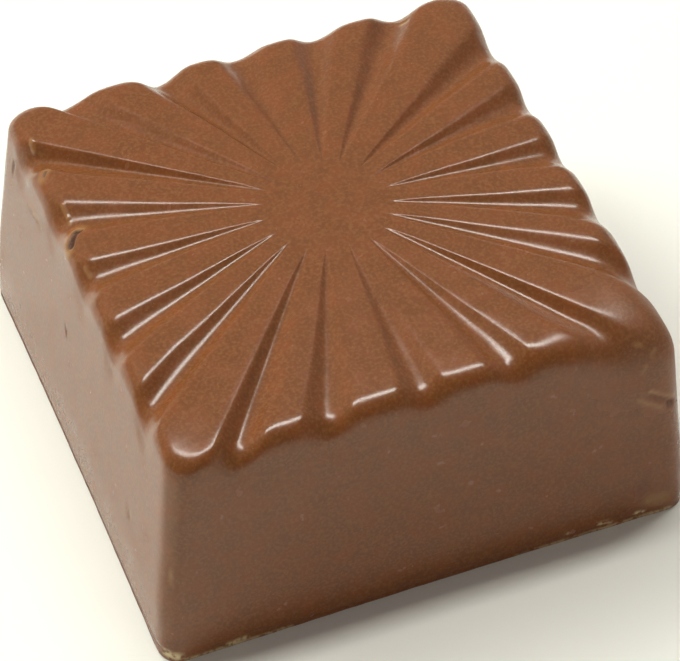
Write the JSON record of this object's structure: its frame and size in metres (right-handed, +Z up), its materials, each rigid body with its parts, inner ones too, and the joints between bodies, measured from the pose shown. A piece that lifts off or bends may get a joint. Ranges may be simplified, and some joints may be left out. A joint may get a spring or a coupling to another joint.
{
  "type": "chocolate caramel candy",
  "caption": "Square moulded milk chocolate candy with tapered sides and a fluted top, of the kind that holds a caramel filling.",
  "frame": {"origin": "middle of the flat base, at the bottom", "axes": "+Z up out of the fluted top, front side face towards -Y, right side face towards +X"},
  "size_m": [0.0272, 0.0272, 0.0132],
  "materials": {
    "milk_chocolate": "smooth moulded milk chocolate with a soft gloss, faint mottling and a few small scuffs"
  },
  "bodies": {
    "root": {"chocolate": "milk_chocolate"}
  },
  "joints": []
}
